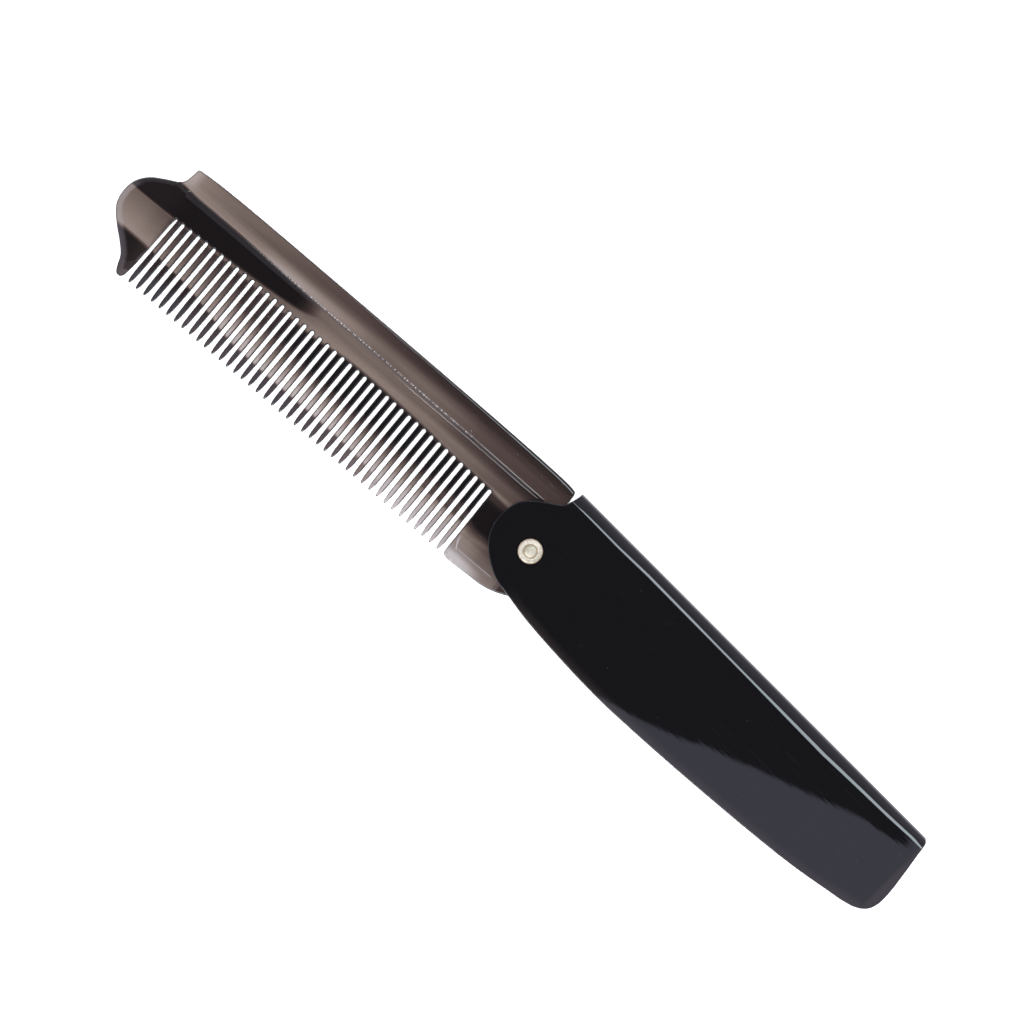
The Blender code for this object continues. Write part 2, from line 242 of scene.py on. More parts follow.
# The shoulder's faces lie within this distance of the milled edge
SHOULDER_REACH = 1.0 * MM
HOLE_REACH = 4 * MM
HOLE_SIDES = 64

# Rivet
RIVET_RADIUS = (RIVET_HIGH.x - RIVET_LOW.x) / 2
SHANK_RADIUS = 1.2 * MM
# The heads' undersides lie this far under the handle's faces
HEAD_DEPTH = 0.4 * MM
# Radius of the rolled ring's rounding, as a share of its half width
ROLL_SHARE = 0.8
# The dish's groove starts, is deepest and ends this far from the dish's radius
DISH_GROOVE = (-0.12 * MM, -0.02 * MM, 0.04 * MM)
GROOVE_DEPTH = 0.06 * MM
# The back head, from its outer corner: its straight side, the middle of its rounding and the edge of its flat
BACK_SIDE = 0.06 * MM
BACK_ROUND = (0.5 * MM, 0.24 * MM)
BACK_ROUND_RADIUS = 0.20 * MM
BACK_FLAT = (1.1 * MM, 0.01 * MM)

# Picture: where the rivet's axis and the comb's length lie in it. Places of lights are given from its middle,
# to its right, up in it and over the floor
PICTURE_PIXELS = 1024
PIVOT_PIXEL = Vector((530.3, 551.3))
COMB_ROLL = math.radians(40.29)
CAMERA_SENSOR = 36.0
# The camera sees its field at this height
FIELD_HEIGHT = 4.5 * MM
FLOOR_SIZE = 4.0
OVERHEAD_SIZE = (0.18, 0.18)
OVERHEAD_PLACE = (0, 0, 1.25)
STRIP_SIZE = (0.43, 0.11)
STRIP_PLACE = (0.315, 0.208, 0.80)
STRIP_TINT = (0.87, 1.01, 1.07)
BOX_SIZE = (0.216, 0.22)
BOX_PLACE = (-0.201, -0.313, 0.80)
BOX_TINT = (0.92, 1.0, 1.02)
# The grey panel's mirrored edge: its direction, its offset from the picture's middle and where it starts
PANEL_TURN = math.radians(-24.1)
PANEL_OFFSET = 25.6 * MM
PANEL_START = 15 * MM
PANEL_HEIGHT = 0.70
PANEL_SIZE = (0.7, 0.7)
PANEL_TINT = (0.91, 0.91, 1.2)
# The sky from the horizon to straight above, with its tint
SKY_HEIGHTS = (0.0, 0.25, 0.80, 0.905, 0.935)
SKY_TINT = (1.0, 0.96, 1.12)


def length(name, description, millimetres):
    return FloatProperty(name=name, description=description, default=millimetres * MM, unit="LENGTH")


def angle(name, description, degrees):
    return FloatProperty(name=name, description=description, default=math.radians(degrees), unit="ROTATION")


def number(name, description, value):
    return FloatProperty(name=name, description=description, default=value)


def colour(name, description, value):
    return FloatVectorProperty(name=name, description=description, subtype="COLOR", default=value)


class HandleSettings(bpy.types.PropertyGroup):
    """Sizes and colours of the handle."""

    edge_width: length("Edge width", "Width of the polished edge", 0.22)
    rim_width: length("Rim width", "Softening of the slot and seat rims", 0.10)
    seat_radius: length("Seat radius", "Radius of the rivet's seat", 2.9)
    seat_depth: length("Seat depth", "Depth of the rivet's seat", 0.7)
    hole_radius: length("Hole radius", "Radius of the hole for the rivet", 1.5)
    colour: colour("Acetate", "Black acetate", (0.0033, 0.0033, 0.0038))
    rim_colour: colour("Rim", "Acetate at its thin edges", (0.0115, 0.0092, 0.0092))
    roughness: number("Roughness", "Polish of the acetate", 0.012)


class CombSettings(bpy.types.PropertyGroup):
    """Sizes and looks of the comb."""

    edge_radius: length("Edge radius", "Rounding of the teeth and the edges", 0.26)
    crest_width: length("Crest width", "Width of the slight facet along the spine", 0.14)
    crest_tilt: angle("Crest tilt", "Tilt of that facet", 12.1)
    lobe_edge: length("Lobe edge", "Width of the thinned edge round the lobe", 1.55)
    lobe_drop: length("Lobe drop", "How much thinner the lobe's edge is", 0.7)
    hole_radius: length("Hole radius", "Radius of the hole for the rivet", 1.5)
    clearness: number("Clearness", "How much light passes the clear streaks", 0.35)
    roughness: number("Roughness", "Polish of the acetate", 0.045)


class RivetSettings(bpy.types.PropertyGroup):
    """Sizes and polish of the rivet."""

    ring_radius: length("Ring radius", "Radius of the rolled ring's crest", 1.97)
    dish_radius: length("Dish radius", "Radius of the flat dish", 1.36)
    dish_depth: length("Dish depth", "Depth of the dish under the crest", 0.16)
    sides: IntProperty(name="Sides", description="Steps round the rivet", default=96, min=24)
    roughness: number("Roughness", "Polish of the metal", 0.42)


class StudioSettings(bpy.types.PropertyGroup):
    """Camera, floor and lights."""

    field: length("Field", "Width that the camera sees at the comb", 194.56)
    lens: number("Lens", "Focal length in millimetres", 200.0)
    roll: angle("Roll", "Angle of the handle's spine in the picture", 45.07)
    floor_colour: colour("Floor", "Pale floor", (0.93, 0.93, 0.93))
    soft_light: number("Soft light", "Radiance of the overhead soft box", 240.0)
    strip_light: number("Strip light", "Radiance of the upper strip", 8.5)
    box_light: number("Box light", "Radiance of the lower soft box", 12.0)
    panel_light: number("Panel light", "Radiance of the grey panel", 0.93)
    sky_low: number("Low sky", "Brightness near the horizon", 0.95)
    sky_middle: number("Middle sky", "Brightness half way up", 0.45)
    sky_high: number("High sky", "Brightness straight above", 0.02)


class CombScene(bpy.types.PropertyGroup):
    """Everything that a user may change."""

    handle: PointerProperty(type=HandleSettings)
    comb: PointerProperty(type=CombSettings)
    rivet: PointerProperty(type=RivetSettings)
    studio: PointerProperty(type=StudioSettings)


def curve_through(points_mm, steps):
    """Points of a centripetal Catmull-Rom curve through the given ones, both ends included."""
    given = [Vector(point) * MM for point in points_mm]
    line = [2 * given[0] - given[1], *given, 2 * given[-1] - given[-2]]
    times = [0.0]
    for before, after in zip(line, line[1:]):
        times.append(times[-1] + math.sqrt((after - before).length))
    points = []
    for i in range(1, len(line) - 2):
        for step in range(steps):
            t = times[i] + (times[i + 1] - times[i]) * step / steps
            points.append(point_at(line[i - 1 : i + 3], times[i - 1 : i + 3], t))
    points.append(given[-1])
    return points


def point_at(line, times, t):
    """The curve's point at time t, by blending its four neighbours pair by pair."""
    blended = list(line)
    for reach in (1, 2):
        for i in range(len(blended) - 1):
            start, end = times[i], times[i + reach]
            blended[i] = blended[i].lerp(blended[i + 1], (t - start) / (end - start))
        blended.pop()
    return blended[0].lerp(blended[1], (t - times[1]) / (times[2] - times[1]))


def along_line(line, x):
    """The height at x of a line of straight stretches, level past its ends."""
    x = min(max(x, line[0][0]), line[-1][0])
    for (x0, y0), (x1, y1) in zip(line, line[1:]):
        if x <= x1:
            break
    return y0 + (y1 - y0) * (x - x0) / (x1 - x0)


def plate(outline, half):
    """A flat plate with this outline, with its middle plane at height 0."""
    mesh = bmesh.new()
    rim = [mesh.verts.new((point.x, point.y, -half)) for point in outline]
    under = mesh.faces.new(rim)
    grown = bmesh.ops.extrude_face_region(mesh, geom=[under])["geom"]
    lifted = [item for item in grown if isinstance(item, bmesh.types.BMVert)]
    bmesh.ops.translate(mesh, verts=lifted, vec=(0, 0, 2 * half))
    bmesh.ops.recalc_face_normals(mesh, faces=mesh.faces)
    return mesh


def rim_edges(mesh):
    """The edges between the plate's flat sides and its walls."""
    found = []
    for edge in mesh.edges:
        flat = [abs(face.normal.z) > FLAT_SIDE for face in edge.link_faces]
        if sorted(flat) == [False, True]:
            found.append(edge)
    return found


def round_edges(mesh, edges, width):
    bmesh.ops.bevel(
        mesh, geom=edges, offset=width, affect="EDGES", segments=3, profile=0.5, material=-1,
        clamp_overlap=True,
    )


def crease(mesh, point, normal, faces=None):
    """Cut the faces, or all of them, along a plane, so that the plate can bend there."""
    if faces is None:
        cut_up = [*mesh.verts, *mesh.edges, *mesh.faces]
    else:
        cut_up = list(dict.fromkeys(item for face in faces for item in (face, *face.edges, *face.verts)))
    bmesh.ops.bisect_plane(mesh, geom=cut_up, plane_co=point, plane_no=normal, dist=SAME_POINT)


def turned(profile, sides):
    """A solid turned about the Z axis from a profile of (radius, height) that starts and ends on the axis."""
    mesh = bmesh.new()
    points = [mesh.verts.new((radius, 0, height)) for radius, height in profile]
    edges = [mesh.edges.new(pair) for pair in zip(points, points[1:])]
    bmesh.ops.spin(
        mesh, geom=points + edges, cent=(0, 0, 0), axis=(0, 0, 1), angle=math.tau, steps=sides,
        use_merge=True,
    )
    bmesh.ops.remove_doubles(mesh, verts=mesh.verts, dist=SAME_POINT)
    bmesh.ops.recalc_face_normals(mesh, faces=mesh.faces)
    return mesh


def cut_round(target, half_profile, sides):
    """Cut a turned form from the target. Its profile is the given upper half and its mirror image."""
    lower = [(radius, -height) for radius, height in reversed(half_profile)]
    cut(target, turned(half_profile + lower, sides))


def block(low, high):
    mesh = bmesh.new()
    bmesh.ops.create_cube(mesh, size=1)
    size = Vector(high) - Vector(low)
    bmesh.ops.scale(mesh, verts=mesh.verts, vec=size)
    bmesh.ops.translate(mesh, verts=mesh.verts, vec=Vector(low) + size / 2)
    return mesh


def new_object(name, mesh):
    data = bpy.data.meshes.new(name)
    mesh.to_mesh(data)
    mesh.free()
    made = bpy.data.objects.new(name, data)
    bpy.context.scene.collection.objects.link(made)
    return made


def cut(target, mesh):
    """Cut the mesh from the target for good."""
    cutter = new_object("cutter", mesh)
    boolean = target.modifiers.new("cut", "BOOLEAN")
    boolean.operation = "DIFFERENCE"
    boolean.solver = "EXACT"
    boolean.object = cutter
    evaluated = target.evaluated_get(bpy.context.evaluated_depsgraph_get())
    finished = bpy.data.meshes.new_from_object(evaluated)
    target.modifiers.remove(boolean)
    target.data = finished
    bpy.data.objects.remove(cutter, do_unlink=True)


def place(piece, turn, low, high):
    """Move a piece from the rivet's axes to the frame's, and keep it in the box of the node it stands for."""
    piece.data.transform(Matrix.Translation(PIVOT) @ Matrix.Rotation(turn, 4, "Z"))
    for vert in piece.data.vertices:
        vert.co = [min(max(value, least), most) for value, least, most in zip(vert.co, low, high)]


def finish_shading(piece, sharp_degrees):
    """Smooth the piece, and let its large flat faces keep their own direction."""
    piece.data.shade_smooth()
    piece.data.set_sharp_from_angle(angle=math.radians(sharp_degrees))
    weighted = piece.modifiers.new("even_shading", "WEIGHTED_NORMAL")
    weighted.keep_sharp = True
    weighted.weight = 100


def give(piece, body, node, material):
    """Give the piece its material, tie it to its body and hide the imported node that it stands for."""
    piece.data.materials.clear()
    piece.data.materials.append(material)
    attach(piece, body)
    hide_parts(node)


def math_node(operation):
    """A method that joins a value to others by a math node."""

    def join(value, *others):
        return value.shader.math(operation, value, *others)

    return join


class Value:
    """A number in a material's nodes, from which plain arithmetic makes more nodes."""

    __add__ = __radd__ = math_node("ADD")
    __mul__ = __rmul__ = math_node("MULTIPLY")
    __sub__ = math_node("SUBTRACT")
    __truediv__ = math_node("DIVIDE")
    __pow__ = math_node("POWER")
    __abs__ = math_node("ABSOLUTE")
    at_least = math_node("MAXIMUM")
    at_most = math_node("MINIMUM")

    def __init__(self, shader, socket):
        self.shader = shader
        self.socket = socket

    def __rsub__(self, other):
        return self.shader.math("SUBTRACT", other, self)

    def clamped(self):
        return self.shader.value("Clamp", {"Value": self})

    def ramp(self, low, high):
        """0 at low and 1 at high, with a soft turn between."""
        inputs = {"Value": self, "From Min": low, "From Max": high}
        return self.shader.value("MapRange", inputs, "Result", interpolation_type="SMOOTHSTEP")

    def blend(self, first, second):
        """The first number where this is 0, and the second where it is 1."""
        return self.shader.value("Mix", {0: self, 2: first, 3: second}, data_type="FLOAT")

    def paint(self, colour_under, colour_over):
        """The first colour where this is 0, and the second where it is 1."""
        inputs = {0: self, 6: colour_under, 7: colour_over}
        return self.shader.node("Mix", inputs, data_type="RGBA").outputs[2]

    def colours(self, stops):
        """A colour for each value. The stops are (value, red, green, blue)."""
        made = self.shader.node("ValToRGB", {"Fac": self})
        elements = made.color_ramp.elements
        elements[0].position, elements[1].position = stops[0][0], stops[-1][0]
        for stop in stops[1:-1]:
            elements.new(stop[0])
        for element, stop in zip(elements, stops):
            element.color = (*stop[1:], 1)
        return made.outputs["Color"]

    def curve(self, points):
        """A smooth curve through the given points, each a (value, result)."""
        start, end = points[0][0], points[-1][0]
        results = [result for _, result in points]
        least, most = min(results), max(results)
        inputs = {"Value": self, "From Min": start, "From Max": end}
        curve = self.shader.node("FloatCurve", {"Value": self.shader.value("MapRange", inputs, "Result")})
        line = curve.mapping.curves[0]
        places = [((at - start) / (end - start), (result - least) / (most - least)) for at, result in points]
        line.points[0].location = places[0]
        line.points[1].location = places[-1]
        for spot in places[1:-1]:
            line.points.new(*spot)
        for spot in line.points:
            spot.handle_type = "AUTO_CLAMPED"
        curve.mapping.update()
        inputs = {"Value": curve.outputs["Value"], "To Min": least, "To Max": most}
        return self.shader.value("MapRange", inputs, "Result")


class Shader:
    """The nodes of one material, or of the sky, made by plain calls."""

    def __init__(self, owner, surface="Principled BSDF"):
        self.owner = owner
        owner.use_nodes = True
        self.tree = owner.node_tree
        self.surface = self.tree.nodes[surface]

    def node(self, kind, inputs=None, **settings):
        """A node with its settings and its inputs, each a constant or another node's output."""
        made = self.tree.nodes.new("ShaderNode" + kind)
        for name, setting in settings.items():
            setattr(made, name, setting)
        for name, given in (inputs or {}).items():
            self.put(made.inputs[name], given)
        return made

    def put(self, socket, given):
        if isinstance(given, Value):
            given = given.socket
        if isinstance(given, bpy.types.NodeSocket):
            self.tree.links.new(given, socket)
        elif socket.type == "RGBA":
            socket.default_value = (*given, 1)
        else:
            socket.default_value = given

    def value(self, kind, inputs=None, output=0, **settings):
        return Value(self, self.node(kind, inputs, **settings).outputs[output])

    def math(self, operation, *values):
        return self.value("Math", dict(enumerate(values)), operation=operation)

    def attribute(self, name):
        return self.value("Attribute", output="Fac", attribute_name=name)

    def noise(self, vector, scale, detail=2.0, roughness=0.5):
        inputs = {"Vector": vector, "Scale": scale, "Detail": detail, "Roughness": roughness}
        return self.value("TexNoise", inputs, "Fac")

    def streaks(self, spot, along, across, detail=2.0, roughness=0.5):
        """Noise with so many waves per millimetre along the piece and across it."""
        inputs = {0: spot, 1: (along, across, across)}
        stretched = self.node("VectorMath", inputs, operation="MULTIPLY").outputs[0]
        return self.noise(stretched, 1, detail, roughness)

    def piece_space(self, turn):
        """Millimetres from the rivet's axis in the axes of the piece: the spot, and its X and Y."""
        place_of = self.node("TexCoord").outputs["Object"]
        inputs = {"Vector": place_of, "Location": PIVOT, "Rotation": (0, 0, turn), "Scale": (MM, MM, MM)}
        spot = self.node("Mapping", inputs, vector_type="TEXTURE").outputs["Vector"]
        axes = self.node("SeparateXYZ", {"Vector": spot}).outputs
        return spot, Value(self, axes["X"]), Value(self, axes["Y"])

    def relief(self, *layers):
        """The direction of the surface with layers of relief, each a value and its height in millimetres."""
        normal = None
        for height, depth in layers:
            inputs = {"Strength": 1, "Distance": depth * MM, "Height": height}
            if normal:
                inputs["Normal"] = normal
            normal = self.node("Bump", inputs).outputs["Normal"]
        return normal

    def finish(self, **sockets):
        """Set the surface's inputs, named as in Blender but with low letters and lines for gaps."""
        named = {socket.name.lower().replace(" ", "_"): socket for socket in self.surface.inputs}
        for name, given in sockets.items():
            self.put(named[name], given)
        return self.owner


def new_shader(name):
    return Shader(bpy.data.materials.new(name))


# The handle's curved edge in millimetres, where the thin acetate shows brown
HANDLE_LOWER_RIM = (
    (-9, -4), (-4, -7.4), (3.2, -9), (9.5, -9.9), (27, -10.7), (38, -10.3), (57, -9), (76, -7.1), (92, -4),
)
SPECK_COLOUR = (0.022, 0.022, 0.025)


def black_acetate(settings):
    """Polished black acetate with a faint buffing grain, hairline scratches and a few specks."""
    shader = new_shader("black_acetate")
    spot, along, height = shader.piece_space(0.0)
    swell = shader.streaks(spot, 0.03, 0.07, 1)
    grain = shader.streaks(spot, 0.10, 2.2, 3, 0.6)
    hair = shader.streaks(spot, 0.09, 7, 2, 0.4).ramp(0.73, 0.78)
    specks = shader.value("TexVoronoi", {"Vector": spot, "Scale": 0.30}, "Distance", feature="F1")
    crown = height.ramp(9, 12.2)
    sag = height.ramp(-2.8, -9.5)
    normal = shader.relief((swell, 0.006), (crown, -0.004), (sag, 0.004), (grain, 0.0004), (hair, -0.0006))
    curved_rim = (height - along.curve(HANDLE_LOWER_RIM)).ramp(2.2, 0.2) * along.ramp(1, 8)
    thin_rim = curved_rim.at_least(along.ramp(91.6, 92.6))
    shade = specks.ramp(0.035, 0.020).paint(settings.colour, SPECK_COLOUR)
    shade = thin_rim.paint(shade, settings.rim_colour)
    rough = grain * 0.006 + (settings.roughness - 0.003) + hair * 0.05
    return shader.finish(base_color=shade, roughness=rough, normal=normal)


# The comb's streaks in millimetres along and across it, with their darkness from clear at 0 to black at 1
BAND_BOTTOM = (
    (-110, 4), (-95, 4.06), (-91.5, 4.35), (-84, 4.65), (-76, 5.15), (-70, 5.6), (-65, 6.2), (-61, 6.9),
    (-57, 7.9), (-54, 9),
)
CORE_TOP = (
    (-110, 4.6), (-92, 5.1), (-76, 4.9), (-61, 4.75), (-54, 5.25), (-46, 5.75), (-38, 5.6), (-29, 5.3),
    (-24, 4.85), (-16, 4.7), (-10, 4.15), (8, 3.6),
)
CORE_DARKNESS = (
    (-105, 0.46), (-98, 0.48), (-95.5, 0.54), (-93.2, 0.57), (-91.8, 0.8), (-84, 0.74), (-76, 0.81),
    (-69, 0.76), (-61, 0.96), (-54, 0.99), (8, 1),
)
CORE_BOTTOM = (
    (-105, 4), (-91, 4), (-76, 3.5), (-69, 0.2), (-61, 0.9), (-54, -0.3), (-16, -0.8), (-10, -3.1), (8, -3.3),
)
CORE_FADE = (
    (-105, 15), (-91, 15), (-76, 12), (-69, 5.4), (-61, 7.8), (-54, 5.5), (-46, 5.7), (-38, 6.9), (-31, 7.1),
    (-16, 5.7), (-10, 4.7), (8, 7),
)
STEP_DARKNESS = (
    (-28, 0), (-23, 0.6), (-15, 0.68), (-12, 0.77), (8, 0.86),
)
LOW_TOP = (
    (-110, -2.05), (-101, -2.15), (-94, -2.15), (-91, -2.65), (-84, -3.3), (-76, -4.8), (-69, -6.4),
    (-61, -6.72), (-46, -6.95), (-38, -7.25), (-33, -7.8), (-30, -8.7),
)
LOW_DARKNESS = (
    (-96, 0.95), (-91, 0.84), (-84, 0.88), (-76, 0.77), (-61, 0.78), (-46, 0.7), (-38, 0.52), (-29, 0),
)
# Darkness of the clear streaks at each x; its rise towards the pivot end is partly painted shade from the
# handle
CLEAR_DARKNESS = (
    (-100, 0.2), (-75, 0.04), (-30, 0.01), (-16, 0.13), (-13.4, 0.15), (-12.7, 0.31), (-10.6, 0.36),
    (-9.5, 0.4), (-7.6, 0.49), (-5.7, 0.57), (-1.4, 0.6), (-0.6, 0.75), (8, 0.75),
)
BLADE_DARKNESS = (
    (-66, 0.5), (-61, 0.38), (-53, 0.3), (-45, 0.31), (-36, 0.35), (-28, 0.39), (-20, 0.45), (-11, 0.57),
    (8, 0.7),
)
SPINE_DARKNESS = (
    (-97, 0), (-94, 0.15), (-92, 0.33), (-87, 0.41), (-78, 0.48), (-70, 0.53), (-62, 0.6), (-53, 0.67),
    (-45, 0.73), (-36, 0.8), (-11, 0.845), (8, 0.88),
)
FOOT_DARKNESS = (
    (-97, 0.2), (-87, 0.26), (-78, 0.25), (-70, 0.15), (-62, 0.22), (-53, 0.31), (-45, 0.42), (-36, 0.44),
    (-28, 0.49), (-20, 0.6), (-11, 0.66), (8, 0.7),
)
FOOT_HEIGHT = (
    (-97, 0.9), (-70, 1.7), (-53, 2.6), (-36, 3.1), (8, 3.3),
)
# Colour of the acetate at each darkness
DARKNESS_COLOURS = (
    (0, 0.32, 0.282, 0.267), (0.1, 0.247, 0.212, 0.196), (0.2, 0.19, 0.154, 0.138), (0.3, 0.142, 0.11, 0.094),
    (0.4, 0.0986, 0.0747, 0.0627), (0.5, 0.0678, 0.0495, 0.042), (0.6, 0.0463, 0.0322, 0.0285),
    (0.7, 0.0292, 0.02, 0.0178), (0.8, 0.0176, 0.0122, 0.0112), (0.9, 0.0092, 0.0068, 0.0066),
    (1, 0.0044, 0.0035, 0.0038),
)
# Painted reflection: the bluish sheen of the sky on the thinned bevels and the teeth's tips
SHEEN_REFLECTION_COLOUR = (0.25, 0.25, 0.31)
# Painted reflection on the heel's lower bevel
HEEL_REFLECTION_COLOUR = (0.66, 0.63, 0.62)
# Painted highlights on the teeth's tip bevels and along the heel's bevels
HIGHLIGHT_LINE_COLOUR = (0.46, 0.45, 0.48)
# Painted shade between and under the torn beads
BEAD_SHADE_COLOUR = (0.012, 0.009, 0.009)
# Painted highlight on the torn beads
BEAD_GLINT_COLOUR = (0.42, 0.39, 0.38)
STROKE_PITCH = 0.52


def smoky_acetate(settings):
    """Streaked smoky acetate, clear in the light streaks, with cutter marks along the milled edge."""
    shader = new_shader("smoky_acetate")
    spot, along, height = shader.piece_space(OPEN_ANGLE)
    from_edge = along * -MILLED_EDGE_SLOPE + height - MILLED_EDGE_Y / MM
    from_top = from_edge - along.curve([(x / MM, rise / MM) for x, rise in SHOULDER_RISE])
    darkness = streaked_darkness(shader, spot, along, height, from_edge, from_top)
    thinned = thin_places(shader, along, from_edge)
    darkness = darkness * (1 - (1 - darkness ** 4) * thinned)
    rim = shader.attribute("rim")
    # The rims are painted darker: painted shade for the dark contour of the rounded edges
    brightness = (1 - darkness) * (rim * -0.82 + 1)
    shade = (1 - brightness).colours(DARKNESS_COLOURS)
    in_teeth = along.ramp(-92.6, -92.2) * along.ramp(-12.8, -13.1) * (1 - rim.at_most(1))
    # A painted reflection of the bluish sky, on the thinned bevels and faintly on the teeth's tips
    tip_sheen = from_edge.ramp(-15, -18.2) * 0.055
    painted_sheen = (thinned * 0.09).at_least(tip_sheen * in_teeth)
    shade = painted_sheen.paint(shade, SHEEN_REFLECTION_COLOUR)
    # Painted reflection: a pale sheen on the heel's lower bevel, weaker on its rounded rim
    heel_reflection = from_edge.ramp(-18, -19.6) * along.ramp(-13, -12.6) * along.ramp(-3, -11)
    heel_reflection = heel_reflection * (rim * -0.55 + 0.55)
    shade = heel_reflection.paint(shade, HEEL_REFLECTION_COLOUR)
    # Painted highlights: the teeth's tips lighter where their bevels start, and the heel's bevel lines
    tips = from_edge.ramp(-17, -18.5) * 0.14 + from_edge.ramp(-15.4, -16.6) * 0.09
    tips = tips * along.ramp(-36, -24) * in_teeth
    shade = tips.at_least(heel_highlight_lines(along, height)).paint(shade, HIGHLIGHT_LINE_COLOUR)
    beads, shadow, chatter = cutter_marks(shader, from_top, along)
    torn_gaps = beads.ramp(0, -0.8)
    # Painted shade in the gaps between the beads and painted shadow under them
    bead_shade = (torn_gaps * 0.60).at_least(shadow)
    shade = (bead_shade * 0.95).paint(shade, BEAD_SHADE_COLOUR)
    # Painted highlights on the beads
    shade = (beads.ramp(0, 1) * 0.72).paint(shade, BEAD_GLINT_COLOUR)
    grain = shader.streaks(spot, 0.3, 5, 3, 0.6)
    normal = shader.relief((chatter, 0.05), (grain, 0.0008))
    clear = brightness * settings.clearness * (shadow * -0.95 + 1) * (thinned * 0.8 + 1)
    guard_tip = (along * -0.83 + height).ramp(70.72, 70.64) * along.ramp(-92.3, -92.4)
    rough = grain * 0.04 + (settings.roughness - 0.02) + rim * 0.35 + shadow * 0.45 + guard_tip
    return shader.finish(
        base_color=shade, roughness=rough, normal=normal, transmission_weight=clear,
        specular_ior_level=torn_gaps * -0.45 + 0.5,
    )


def streaked_darkness(shader, spot, along, height, from_edge, from_top):
    """Darkness of the blade and of the spine, with fine streaks and mottle in it."""
    across = shader.streaks(spot, 0.035, 0.20) * 0.7 + (height - 0.35)
    in_spine = from_top.ramp(-0.30, along.ramp(-95, -91).blend(0.50, 0.05))
    darkness = in_spine.blend(blade_darkness(along, across), spine_darkness(along, from_edge))
    streaks = shader.streaks(spot, 0.030, 0.85, 4, 0.55) - 0.5
    darkness = darkness * (1 - darkness) * along.ramp(-98, -88) * 0.9 * streaks + darkness
    return (shader.noise(spot, 2.6) - 0.5) * 0.05 + darkness


def thin_places(shader, along, from_edge):
    """Lighter where thinned: the bevel round the lobe and the heel's lower edge; a painted reflection on the
    heel's left side.
    """
    lobe = shader.attribute("thinned").ramp(0.02, 0.40) * from_edge.ramp(-4, -5.8)
    slope = from_edge.ramp(-14.6, -17.9) * 0.34
    bevel = from_edge.ramp(-18.4, -20.1) * 0.40 + from_edge.ramp(-17.75, -18) * 0.31
    bevel = bevel * along.ramp(-2, -11).blend(0.25, 1)
    # Painted reflection: a light streak along the heel's left rounded side
    side = along.ramp(-11.6, -12.1) * from_edge.ramp(-13.7, -14.8)
    heel = (slope + (side * 0.14 + bevel)) * along.ramp(-13.1, -12.8) * along.ramp(0.1, -0.5)
    return (lobe * 0.62).at_least(heel)


def heel_highlight_lines(along, height):
    """Painted highlights where the heel's bevels meet its face: one level line, one curved at its front
    corner.
    """
    level = abs(height + 8.62).ramp(0.16, 0.04) * along.ramp(-11.1, -10.7) * along.ramp(-1.8, -3.2)
    down = (height * -0.3876 - 2.43).clamped()
    bend = down ** 2.0 * 0.95 - 11.95
    curved = abs(along - bend).ramp(0.22, 0.06) * height.ramp(-5.9, -7.6) * height.ramp(-9, -8.75)
    return (level * 0.24).at_least(curved * 0.50)


def spine_darkness(along, from_edge):
    """The spine darkens towards the pivot, less so along its foot."""
    up = (from_edge - along.curve(FOOT_HEIGHT)).ramp(-1.5, 1.5)
    return up.blend(along.curve(FOOT_DARKNESS), along.curve(SPINE_DARKNESS))


def blade_darkness(along, across):
    """The blade: a black band by the spine, a dark core through the teeth and a dark streak in their tips."""
    softness = along.ramp(-94.5, -91.5).blend(-0.25, -0.9)
    band = (across - along.curve(BAND_BOTTOM)).ramp(softness, 0.75)
    band = band * along.ramp(-54.2, -65.2) * along.ramp(-97, -90).blend(0.95, 1)
    core = (along.curve(CORE_TOP) - across).ramp(-0.6, 1)
    step = across.ramp(-5.1, -3.6) * along.curve(STEP_DARKNESS) * core
    below = along.curve(CORE_BOTTOM) - across
    faded = (1 - below / along.curve(CORE_FADE)).clamped() ** 1.3
    heel = along.ramp(-13.2, -12.4) * across.ramp(1.4, 3.6)
    core = core * faded * along.curve(CORE_DARKNESS) * (heel * -0.30 + 1)
    low_softness = along.ramp(-93, -91.5).blend(1.30, 0.60)
    low = (along.curve(LOW_TOP) - across).ramp(-0.25, low_softness) * along.curve(LOW_DARKNESS)
    roots = across.ramp(3.4, 5) * along.curve(BLADE_DARKNESS)
    roots = across.ramp(6, 8.6) * along.ramp(-32, -22).blend(0.13, 0.28) + roots
    plain = roots.at_least(along.curve(CLEAR_DARKNESS)).at_least(step)
    return plain.at_least(band).at_least(core.at_least(low))


def cutter_marks(shader, from_top, along):
    """Small torn beads along the top of the milled step: their painted highlight, painted shadow and height.
    """
    near = abs(from_top + 0.03).ramp(0.20, 0.07)
    under = abs(from_top + 0.25).ramp(0.27, 0.13)
    place_along = shader.node("CombineXYZ", {"X": along}).outputs[0]
    beads = shader.noise(place_along, 2.9, 2, 0.7).ramp(0.42, 0.58).blend(-1, 1)
    stretch = along.ramp(-84, -56) * along.ramp(-19, -26)
    torn = beads * near * stretch
    strokes = shader.math("SINE", along * (math.tau / STROKE_PITCH))
    above = from_top.ramp(0.1, 0.4) * from_top.ramp(1.3, 0.5)
    faint = strokes * above * (stretch * 0.08)
    shadow = under * (stretch * beads.blend(0.45, 1))
    return torn, shadow, torn * 0.5 + faint


# Colour of the rivet at each distance from its axis, as a share of its radius; the dark outer edge is painted
# shade
RIVET_COLOURS = (
    (0, 0.56, 0.53, 0.43), (0.4, 0.54, 0.5, 0.39), (0.5, 0.36, 0.29, 0.185), (0.57, 0.46, 0.39, 0.27),
    (0.64, 0.76, 0.735, 0.62), (0.78, 0.64, 0.59, 0.47), (0.9, 0.62, 0.545, 0.42), (1, 0.2, 0.13, 0.08),
)
TARNISH_AND_SHADE_COLOUR = (0.30, 0.25, 0.17)


